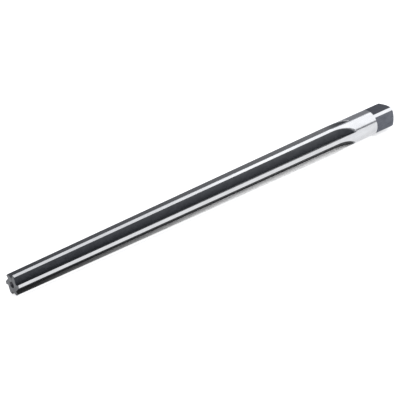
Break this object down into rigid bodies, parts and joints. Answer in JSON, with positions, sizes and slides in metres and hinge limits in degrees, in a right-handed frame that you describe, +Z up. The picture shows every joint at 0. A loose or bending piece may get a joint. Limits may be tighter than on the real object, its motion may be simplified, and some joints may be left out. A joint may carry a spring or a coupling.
{
  "type": "hand taper pin reamer",
  "caption": "Hand reamer for taper pin holes: slim fluted taper with straight cutting edges, short round shank and a square end for a tap wrench.",
  "frame": {"origin": "centre of the bounding box at the level of the surface it lies on", "axes": "+X along the tool from tip to square end, +Z up from the surface it lies on"},
  "size_m": [0.135, 0.008, 0.0081],
  "materials": {
    "tool_steel": "ground bright on lands and shank, dark oxide in flutes and on the square's flats"
  },
  "bodies": {
    "root": {"hand_reamer": "tool_steel"}
  },
  "joints": []
}
